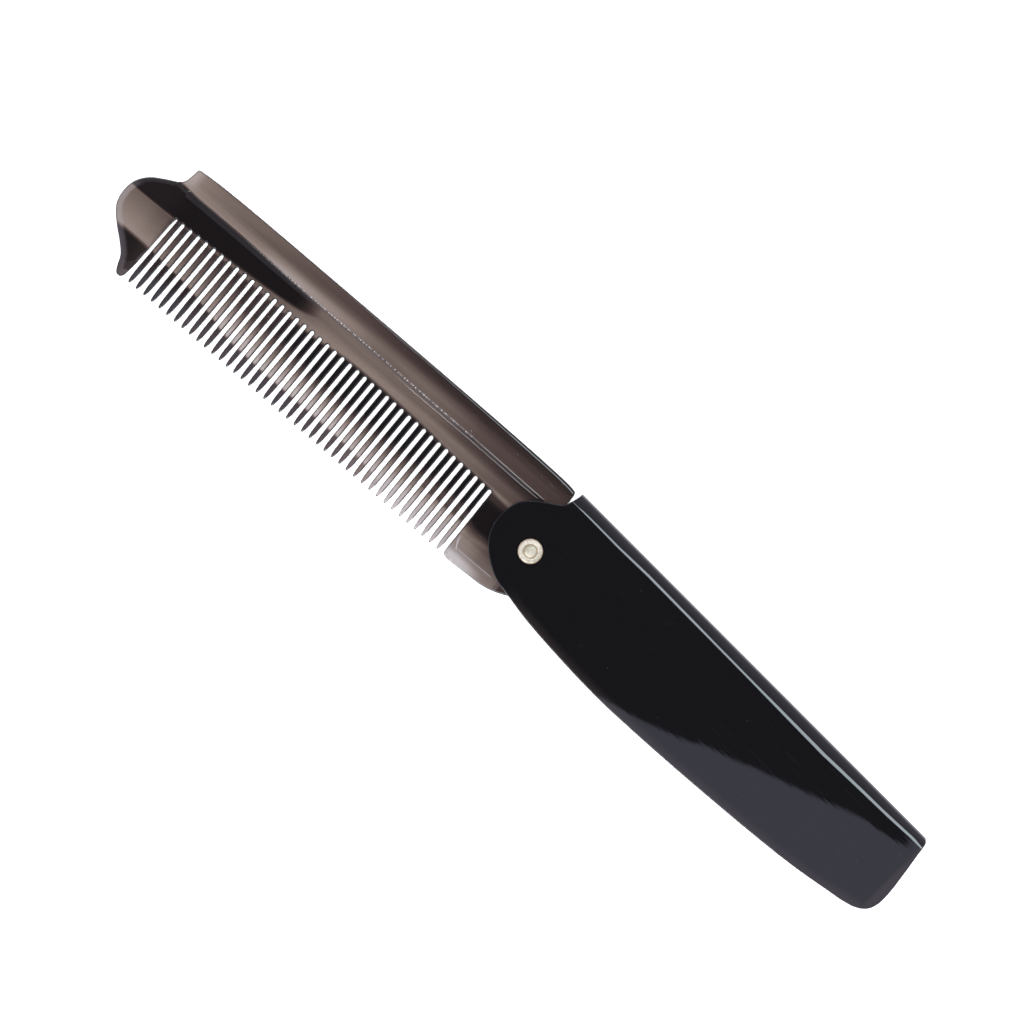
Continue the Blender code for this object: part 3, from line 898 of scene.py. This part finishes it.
def pale_nickel(settings):
    """Worn pale nickel, with small dents, darker and warmer round the dish; painted shade towards +X and at
    the rim.
    """
    shader = new_shader("pale_nickel")
    spot, along, height = shader.piece_space(0.0)
    flat = shader.node("CombineXYZ", {"X": along, "Y": height}).outputs[0]
    reach = shader.value("VectorMath", {0: flat}, "Value", operation="LENGTH")
    dents = shader.noise(spot, 2.2)
    fine = shader.noise(spot, 12)
    shade = (reach / (RIVET_RADIUS / MM) + (dents * 0.10 - 0.05)).colours(RIVET_COLOURS)
    specks = shader.noise(spot, 2.6, 3, 0.7).ramp(0.50, 0.62)
    # Tarnish specks, and the side towards +X painted darker as painted shade
    shade = (specks * 0.55 + along.ramp(1.7, 2.2) * 0.60).paint(shade, TARNISH_AND_SHADE_COLOUR)
    normal = shader.relief((dents, 0.030), (fine, 0.014))
    rough = fine * 0.16 + (settings.roughness - 0.08)
    return shader.finish(base_color=shade, roughness=rough, normal=normal, metallic=0.8)


def pale_floor(settings):
    """Matt pale paper, with fibres a little darker."""
    shader = new_shader("pale_floor")
    spot = shader.node("TexCoord").outputs["Object"]
    paper = tuple(settings.floor_colour)
    shade = shader.noise(spot, 900).paint(paper, [part * 0.985 for part in paper])
    return shader.finish(base_color=shade, roughness=0.9, specular_ior_level=0.1)


def spine_section():
    """Half thickness of the handle at each height near its spine: a slight facet and then a round edge."""
    section = [(SPINE_TURN_Y, HANDLE_HALF), (SPINE_TURN_Y + SPINE_TURN_WIDTH, HANDLE_HALF - SPINE_TURN_DROP)]
    facet_end = section[-1][0] + SPINE_FACET
    section.append((facet_end, section[-1][1] - SPINE_FACET * math.tan(SPINE_FACET_TILT)))
    section += round_edge(section[-1], SPINE_FACET_TILT, SPINE_TIGHT_Y, SPINE_TIGHT_TILT)
    section += round_edge(section[-1], SPINE_TIGHT_TILT, SPINE_Y, math.pi / 2)
    return section


def round_edge(start, start_tilt, end_y, end_tilt):
    """Points of an arc that goes on from a point, from one tilt of the surface to another."""
    radius = (end_y - start[0]) / (math.sin(end_tilt) - math.sin(start_tilt))
    points = []
    for step in range(1, SPINE_ARC_STEPS + 1):
        tilt = start_tilt + (end_tilt - start_tilt) * step / SPINE_ARC_STEPS
        across = start[0] + radius * (math.sin(tilt) - math.sin(start_tilt))
        points.append((across, start[1] - radius * (math.cos(start_tilt) - math.cos(tilt))))
    return points


class FOLDINGCOMB_OT_handle(bpy.types.Operator):
    """Make the slotted handle with its rounded spine, polished edges and rivet seats"""

    bl_idname = "folding_comb.handle"
    bl_label = "Make the handle"

    def execute(self, context):
        settings = context.scene.folding_comb.handle
        outline = curve_through(HANDLE_FRONT, 6)
        outline += curve_through(HANDLE_CURVED_EDGE, 12)[1:] + curve_through(HANDLE_FAR_END, 6)[1:]
        mesh = plate(outline, HANDLE_HALF)
        inside = SPINE_Y - SAME_POINT
        edges = [edge for edge in rim_edges(mesh) if min(vert.co.y for vert in edge.verts) <= inside]
        round_edges(mesh, edges, settings.edge_width)
        self.spine(mesh)
        handle = new_object("handle_case", mesh)
        cut(handle, block((-SLOT_REACH, -SLOT_REACH, -SLOT_HALF), (SLOT_REACH, SLOT_END_Y, SLOT_HALF)))
        seat, above = HANDLE_HALF - settings.seat_depth, HANDLE_HALF + settings.seat_depth
        wide, narrow = settings.seat_radius, settings.hole_radius
        cut_round(handle, [(0, above), (wide, above), (wide, seat), (narrow, seat)], SEAT_SIDES)
        soften = handle.modifiers.new("soft_rims", "BEVEL")
        soften.width = settings.rim_width
        soften.segments = 2
        soften.limit_method = "ANGLE"
        soften.angle_limit = math.radians(60)
        place(handle, 0.0, HANDLE_LOW, HANDLE_HIGH)
        finish_shading(handle, 50)
        give(handle, "handle", "handle", black_acetate(settings))
        return {"FINISHED"}

    def spine(self, mesh):
        """Give the plate its facet and its round edge along the spine."""
        section = spine_section()
        for height, _ in section[:-1]:
            crease(mesh, (0, height, 0), (0, 1, 0))
        for station, _ in SPINE_WANDER:
            crease(mesh, (station, 0, 0), (1, 0, 0))
        for vert in mesh.verts:
            vert.co.z *= along_line(section, vert.co.y) / HANDLE_HALF
            if vert.co.y > SPINE_TURN_Y - SAME_POINT:
                share = min(1.0, (SPINE_Y - vert.co.y) / (SPINE_Y - WANDER_FULL_Y))
                growth = along_line(SPINE_FACET_GROWTH, vert.co.x) * share
                growth *= vert.co.y > SPINE_FACET_MIDDLE_Y
                vert.co.y += along_line(SPINE_WANDER, vert.co.x) * share + growth
                vert.co.z -= math.copysign(growth * math.tan(SPINE_FACET_TILT), vert.co.z)


def half_circle(x, y, radius, side):
    """Points of a half circle from left to right: the upper one for side 1, the lower one for side -1."""
    turns = [math.pi * (1 - side * step / ROUND_STEPS) for step in range(ROUND_STEPS + 1)]
    return [Vector((x + radius * math.cos(turn), y + radius * math.sin(turn))) for turn in turns]


def gap_end(x, width):
    """The round end of the gap at x."""
    return half_circle(x, along_line(GAP_END_LINE, x) - width / 2, width / 2, 1)


def tip_height(x):
    """Height of the teeth's tips at x."""
    share = (x - FIRST_GAP_X) / (LAST_GAP_X - FIRST_GAP_X)
    return TIP_Y_AT_GUARD + (TIP_Y_AT_HEEL - TIP_Y_AT_GUARD) * share


def teeth_outline():
    """Gaps and teeth in turn. A tooth's lower end is blunt here, before it is pinched to a point."""
    points = gap_end(FIRST_GAP_X + FIRST_GAP_SHIFT, FIRST_GAP_WIDTH)
    for number_of_tooth in range(TEETH):
        middle = FIRST_GAP_X + (number_of_tooth + 0.5) * TOOTH_PITCH
        next_gap = middle + TOOTH_PITCH / 2
        tip = middle + along_line(TIP_WANDER, middle)
        points += half_circle(tip, tip_height(tip) + TOOTH_HALF, TOOTH_HALF, -1)
        at_root = along_line(ROOT_WANDER, next_gap) * (number_of_tooth < TEETH - 1)
        points += gap_end(next_gap + at_root, GAP_WIDTH)
    return points


def pinch_teeth(mesh):
    """Narrow each tooth towards its tip, rounding and all."""
    for vert in mesh.verts:
        tooth = math.floor((vert.co.x - FIRST_GAP_X) / TOOTH_PITCH)
        top = along_line(GAP_END_LINE, vert.co.x) - GAP_WIDTH / 2
        if not 0 <= tooth < TEETH or vert.co.y > top:
            continue
        middle = FIRST_GAP_X + (tooth + 0.5) * TOOTH_PITCH
        at_root, at_tip = along_line(ROOT_WANDER, middle), along_line(TIP_WANDER, middle)
        height = vert.co.y - tip_height(middle)
        middle += at_tip + (at_root - at_tip) * height / (top - tip_height(middle))
        vert.co.x = middle + (vert.co.x - middle) * along_line(TIP_TAPER, height)


def supported(line):
    """The places of the line's bends, each with one more close beside it on either side."""
    places = set()
    for place_at, _ in line:
        places |= {place_at - BEND_SUPPORT, place_at, place_at + BEND_SUPPORT}
    return sorted(places)


def blade_half(from_edge):
    """Half thickness of the comb at a distance from the milled edge, with its shoulder."""
    foot, top = SHOULDER[0][0], SHOULDER[-1][0]
    if from_edge >= top:
        return SPINE_HALF
    if from_edge <= foot:
        return along_line(BLADE_SECTION, from_edge)
    at_foot = along_line(BLADE_SECTION, foot)
    return SPINE_HALF - (SPINE_HALF - at_foot) * along_line(SHOULDER, from_edge)


def on_lobe(spot):
    return spot.x < GUARD_SIDE_X and spot.y < LOBE_TOP_Y


def crease_lobe(mesh, axis, start, end):
    """Cut the lobe's faces by parallel planes, so that they can take a soft form."""
    normal = Vector((axis == 0, axis == 1, 0))
    for step in range(int((end - start) / LOBE_CREASES) + 1):
        faces = [face for face in mesh.faces if on_lobe(face.calc_center_median())]
        crease(mesh, normal * (start + step * LOBE_CREASES), normal, faces)


def thin_edge(mesh, line, width_at, drop, clearing):
    """Thin the lobe towards a line on its rim, as a soft round, and mark how much each point clears up."""
    marks = mesh.verts.layers.float.get("thinned") or mesh.verts.layers.float.new("thinned")
    for vert in mesh.verts:
        if not on_lobe(vert.co):
            continue
        nearest = distance_to(line, vert.co)
        width = width_at(vert.co)
        if nearest < width:
            share = 1 - nearest / width
            vert[marks] = max(vert[marks], share * clearing)
            lowered = drop * (1 - math.sqrt(max(0.0, 1 - share * share)))
            half = max(abs(vert.co.z) * (1 - lowered / SPINE_HALF), SAME_POINT)
            vert.co.z = math.copysign(half, vert.co.z)


def distance_to(line, spot):
    """Distance from the spot to the line, seen from above."""
    flat = Vector((spot.x, spot.y))
    distances = []
    for start, end in zip(line, line[1:]):
        _, share = intersect_point_line(flat, start, end)
        distances.append((flat - start.lerp(end, min(max(share, 0.0), 1.0))).length)
    return min(distances)


def guard_bevel(spot):
    """Width of the bevel beside the first gap, which opens towards the guard's tip."""
    return max(SAME_POINT, min(GUARD_BEVEL, (GUARD_BEVEL_START_Y - spot.y) * GUARD_BEVEL_GROWTH))


def from_milled_edge(spot):
    """Distance above the milled edge."""
    return spot.y - MILLED_EDGE_Y - MILLED_EDGE_SLOPE * spot.x


def crease_shoulder(mesh):
    """Cut the shoulder's strips across, so that their width can change along the comb."""
    for station, _, _ in SHOULDER_STATIONS:
        middles = [(face, face.calc_center_median()) for face in mesh.faces]
        strips = [face for face, middle in middles if abs(from_milled_edge(middle)) < SHOULDER_REACH]
        crease(mesh, (station, 0, 0), (1, 0, 0), strips)


def shoulder_shift(x, from_edge):
    """How far a point of the shoulder moves from its straight line."""
    if from_edge < SHOULDER[0][0] - BEND_SUPPORT - SAME_POINT or from_edge > SHOULDER_REACH / 2:
        return 0
    if from_edge < SHOULDER[2][0] - BEND_SUPPORT - SAME_POINT:
        return from_edge * (along_line(SHOULDER_STRETCH, x) - 1)
    return along_line(SHOULDER_RISE, x) * (from_edge < SHOULDER[3][0] + BEND_SUPPORT + SAME_POINT)


def mark_rim(mesh):
    """Mark the rounded rims with the strength of their dark contour, which is painted shade."""
    mesh.normal_update()
    marks = mesh.verts.layers.float.new("rim")
    for vert in mesh.verts:
        if abs(vert.co.z) > SPINE_HALF - RIM_DROP:
            continue
        facing = Vector((vert.normal.x, vert.normal.y)).normalized()
        if vert.co.y < CONTOUR_END_Y and vert.co.x < LAST_GAP_X:
            vert[marks] = TOOTH_CONTOUR * max(0.0, -facing.y) ** 2
        elif vert.co.x < GUARD_SIDE_X:
            vert[marks] = GUARD_CONTOUR if facing.x > 0.5 else LOBE_CONTOUR
        else:
            vert[marks] = EDGE_CONTOUR + EDGE_CONTOUR_GROWTH * facing.x


class FOLDINGCOMB_OT_comb(bpy.types.Operator):
    """Make the comb with its milled blade, rounded teeth, thinned lobe and heel"""

    bl_idname = "folding_comb.comb"
    bl_label = "Make the comb"

    def execute(self, context):
        settings = context.scene.folding_comb.comb
        tip = curve_through(COMB_TIP, 5)
        guard_edge = curve_through(GUARD_EDGE, 4)
        spine_edge = curve_through(COMB_SPINE_EDGE, 5)
        outline = tip + guard_edge[1:] + teeth_outline() + curve_through(COMB_HEEL, 5)
        outline += curve_through(COMB_PIVOT_END, 4)[1:] + spine_edge
        mesh = plate(outline, SPINE_HALF)
        round_edges(mesh, rim_edges(mesh), settings.edge_radius)
        self.crease_blade(mesh)
        mark_rim(mesh)
        self.crest(mesh, spine_edge, settings)
        pinch_teeth(mesh)

        def lobe_bevel(spot):
            return settings.lobe_edge

        thin_edge(mesh, tip, lobe_bevel, settings.lobe_drop, 1.0)
        thin_edge(mesh, guard_edge, guard_bevel, settings.lobe_drop * GUARD_DROP, GUARD_CLEARING)
        self.mill(mesh)
        comb = new_object("comb_plate", mesh)
        cut_round(comb, [(0, HOLE_REACH), (settings.hole_radius, HOLE_REACH)], HOLE_SIDES)
        place(comb, OPEN_ANGLE, COMB_LOW, COMB_HIGH)
        finish_shading(comb, 60)
        give(comb, "comb", "comb", smoky_acetate(settings))
        return {"FINISHED"}

    def crease_blade(self, mesh):
        """Cut the plate wherever it will bend."""
        for distance in supported(SHOULDER) + [distance for distance, _ in BLADE_SECTION[1:-1]]:
            crease(mesh, (0, MILLED_EDGE_Y + distance, 0), (-MILLED_EDGE_SLOPE, 1, 0))
        for height in TOOTH_LINES_MM:
            crease(mesh, (0, height * MM, 0), (0, 1, 0))
        crease(mesh, (GUARD_SIDE_X, 0, 0), (1, 0, 0))
        crease_lobe(mesh, 0, *LOBE_X)
        crease_lobe(mesh, 1, *LOBE_Y)
        crease_shoulder(mesh)

    def crest(self, mesh, line, settings):
        """Give the spine's outer edge a slight facet inside its rounding."""
        flat = [face for face in mesh.faces if abs(face.normal.z) > FLAT]
        flat = [face for face in flat if face.calc_center_median().y > CREST_FACES_Y]
        for width in (settings.crest_width, BEND_SUPPORT):
            bmesh.ops.inset_region(
                mesh, faces=flat, thickness=width, use_boundary=True, use_even_offset=True
            )
        inner_edge = settings.edge_radius + settings.crest_width
        for vert in mesh.verts:
            if vert.co.y < CREST_FACES_Y or abs(vert.co.z) < SPINE_HALF / 2:
                continue
            nearest = distance_to(line, vert.co)
            inward = min(settings.crest_width, inner_edge - nearest)
            if inward > 0:
                drop = inward * math.tan(settings.crest_tilt) * along_line(CREST_FADE, vert.co.x)
                vert.co.z -= math.copysign(drop, vert.co.z)
            shift = along_line(CREST_SHIFT, vert.co.x)
            if settings.edge_radius - SAME_POINT < nearest < inner_edge + 2 * BEND_SUPPORT:
                vert.co.y -= shift
            elif CREST_TURN_FROM < nearest < settings.edge_radius:
                vert.co.y -= max(0.0, shift - CREST_SPREAD)
            elif SAME_POINT < nearest <= CREST_TURN_FROM:
                vert.co.z -= math.copysign(CREST_TURN + CREST_TURN_GROWTH * shift, vert.co.z)

    def mill(self, mesh):
        """Thin the blade below the milled edge, with a shoulder whose strips change along the comb."""
        first, last = SHOULDER_STATIONS[0][0], SHOULDER_STATIONS[-1][0]
        for vert in mesh.verts:
            from_edge = from_milled_edge(vert.co)
            vert.co.z *= blade_half(from_edge) / SPINE_HALF
            if first - SAME_POINT < vert.co.x < last + SAME_POINT:
                vert.co.y += shoulder_shift(vert.co.x, from_edge)


def arc(centre, radius, start_deg, end_deg, steps):
    """Points of a round stretch of a turned profile."""
    turns = [math.radians(start_deg + (end_deg - start_deg) * step / steps) for step in range(steps + 1)]
    return [(centre[0] + radius * math.cos(turn), centre[1] + radius * math.sin(turn)) for turn in turns]


class FOLDINGCOMB_OT_rivet(bpy.types.Operator):
    """Turn the rivet with its rolled ring in front and its low head behind"""

    bl_idname = "folding_comb.rivet"
    bl_label = "Turn the rivet"

    def execute(self, context):
        settings = context.scene.folding_comb.rivet
        radius = RIVET_RADIUS
        crown = RIVET_HIGH.z - PIVOT.z
        back = RIVET_LOW.z - PIVOT.z
        under_head = HANDLE_HALF - HEAD_DEPTH
        roll = radius - settings.ring_radius
        middle = crown - ROLL_SHARE * roll
        dish = crown - settings.dish_depth
        groove = [settings.dish_radius + offset for offset in DISH_GROOVE]
        profile = [(0, dish), (groove[0], dish), (groove[1], dish - GROOVE_DEPTH), (groove[2], dish)]
        profile += arc((settings.ring_radius, middle), roll * ROLL_SHARE, 150, 90, 6)
        profile += arc((radius - roll * ROLL_SHARE, middle), roll * ROLL_SHARE, 78, 0, 6)
        profile += [(radius, under_head), (SHANK_RADIUS, under_head), (SHANK_RADIUS, -under_head)]
        profile += [(radius, -under_head), (radius, -under_head - BACK_SIDE)]
        profile += arc((radius - BACK_ROUND[0], back + BACK_ROUND[1]), BACK_ROUND_RADIUS, 0, -80, 4)
        profile += [(radius - BACK_FLAT[0], back + BACK_FLAT[1]), (0, back)]
        rivet = new_object("rivet_metal", turned(profile, settings.sides))
        place(rivet, 0.0, RIVET_LOW, RIVET_HIGH)
        finish_shading(rivet, 60)
        give(rivet, "handle", "rivet", pale_nickel(settings))
        return {"FINISHED"}


def picture_point(studio, right, up, height):
    """A place given from the middle of the picture, to its right, up in it and over the floor."""
    metres_per_pixel = studio.field / PICTURE_PIXELS
    centre = PICTURE_PIXELS / 2
    from_rivet = Vector((centre - PIVOT_PIXEL.x, PIVOT_PIXEL.y - centre, 0)) * metres_per_pixel
    turn = Matrix.Rotation(studio.roll, 3, "Z")
    middle = PIVOT + turn @ from_rivet
    return Vector((middle.x, middle.y, 0)) + turn @ Vector((right, up, height))


def area_light(studio, name, radiance, size, place, turn, tint=(1, 1, 1)):
    """A rectangular light of this radiance that faces straight down, turned about its own axis."""
    data = bpy.data.lights.new(name, "AREA")
    data.shape = "RECTANGLE"
    data.size, data.size_y = size
    data.energy = radiance * math.pi * size[0] * size[1]
    data.color = tint
    light = bpy.data.objects.new(name, data)
    bpy.context.scene.collection.objects.link(light)
    spot = Matrix.Translation(picture_point(studio, *place))
    # The half turn leaves the rectangle as it is, and only sets the grain of the render
    light.matrix_world = spot @ Matrix.Rotation(turn + math.pi, 4, "Z")
    light.visible_camera = False
    return light


def studio_sky(studio):
    """A sky that is dark straight above, where the camera stands, and pale all round."""
    sky = Shader(bpy.data.worlds.new("studio_sky"), "Background")
    up = sky.value("SeparateXYZ", {0: sky.node("TexCoord").outputs["Generated"]}, "Z")
    levels = (studio.sky_low, studio.sky_low, studio.sky_middle, studio.sky_middle, studio.sky_high)
    stops = [(at, *(level * part for part in SKY_TINT)) for at, level in zip(SKY_HEIGHTS, levels)]
    bpy.context.scene.world = sky.finish(color=up.colours(stops))


class FOLDINGCOMB_OT_stage(bpy.types.Operator):
    """Lay the pale floor, hang the soft lights and set the camera straight above"""

    bl_idname = "folding_comb.stage"
    bl_label = "Set the stage"

    def execute(self, context):
        scene = context.scene
        studio = scene.folding_comb.studio
        scene.view_settings.view_transform = "Standard"
        mesh = bmesh.new()
        bmesh.ops.create_grid(mesh, x_segments=1, y_segments=1, size=FLOOR_SIZE)
        floor = new_object("floor", mesh)
        floor.data.materials.append(pale_floor(studio))
        studio_sky(studio)
        soft = area_light(studio, "overhead_soft_box", studio.soft_light, OVERHEAD_SIZE, OVERHEAD_PLACE, 0)
        soft.visible_glossy = False
        soft.visible_transmission = False
        roll = studio.roll
        area_light(studio, "upper_strip", studio.strip_light, STRIP_SIZE, STRIP_PLACE, roll, STRIP_TINT)
        area_light(studio, "lower_box", studio.box_light, BOX_SIZE, BOX_PLACE, roll - COMB_ROLL, BOX_TINT)
        distance = studio.field * studio.lens / CAMERA_SENSOR
        self.grey_panel(studio, distance)
        camera = bpy.data.objects.new("camera", bpy.data.cameras.new("camera"))
        scene.collection.objects.link(camera)
        camera.data.sensor_width = CAMERA_SENSOR
        camera.data.lens = studio.lens
        spot = picture_point(studio, 0, 0, FIELD_HEIGHT + distance)
        camera.matrix_world = Matrix.Translation(spot) @ Matrix.Rotation(roll, 4, "Z")
        camera.data.clip_start, camera.data.clip_end = 0.01, 100
        scene.camera = camera
        return {"FINISHED"}

    def grey_panel(self, studio, distance):
        """The grey panel whose edge is mirrored across the handle, from its curved edge to its far end."""
        mirrored = PANEL_OFFSET * (distance + PANEL_HEIGHT) / distance
        outward = Vector((math.sin(PANEL_TURN), -math.cos(PANEL_TURN)))
        onward = Vector((math.cos(PANEL_TURN), math.sin(PANEL_TURN)))
        half = PANEL_SIZE[0] / 2
        centre = outward * (mirrored + half) + onward * (PANEL_START + half)
        place = (centre.x, centre.y, PANEL_HEIGHT)
        turn = studio.roll + PANEL_TURN
        area_light(studio, "grey_panel", studio.panel_light, PANEL_SIZE, place, turn, PANEL_TINT)


class FOLDINGCOMB_PT_panel(bpy.types.Panel):
    """Lists the comb's pieces and their sizes"""

    bl_idname = "FOLDINGCOMB_PT_panel"
    bl_label = "Folding comb"
    bl_space_type = "VIEW_3D"
    bl_region_type = "UI"
    bl_category = "Folding comb"

    def draw(self, context):
        operators = (FOLDINGCOMB_OT_handle, FOLDINGCOMB_OT_comb, FOLDINGCOMB_OT_rivet, FOLDINGCOMB_OT_stage)
        for operator, name in zip(operators, CombScene.__annotations__):
            group = getattr(context.scene.folding_comb, name)
            box = self.layout.box()
            box.operator(operator.bl_idname)
            for setting in group.__annotations__:
                box.prop(group, setting)


CLASSES = (
    HandleSettings, CombSettings, RivetSettings, StudioSettings, CombScene, FOLDINGCOMB_OT_handle,
    FOLDINGCOMB_OT_comb, FOLDINGCOMB_OT_rivet, FOLDINGCOMB_OT_stage, FOLDINGCOMB_PT_panel,
)


def register():
    for item in CLASSES:
        bpy.utils.register_class(item)
    bpy.types.Scene.folding_comb = PointerProperty(type=CombScene)


def unregister():
    del bpy.types.Scene.folding_comb
    for item in reversed(CLASSES):
        bpy.utils.unregister_class(item)


def main():
    register()
    bpy.ops.folding_comb.handle()
    bpy.ops.folding_comb.comb()
    bpy.ops.folding_comb.rivet()
    bpy.ops.folding_comb.stage()


if __name__ == "__main__":
    main()
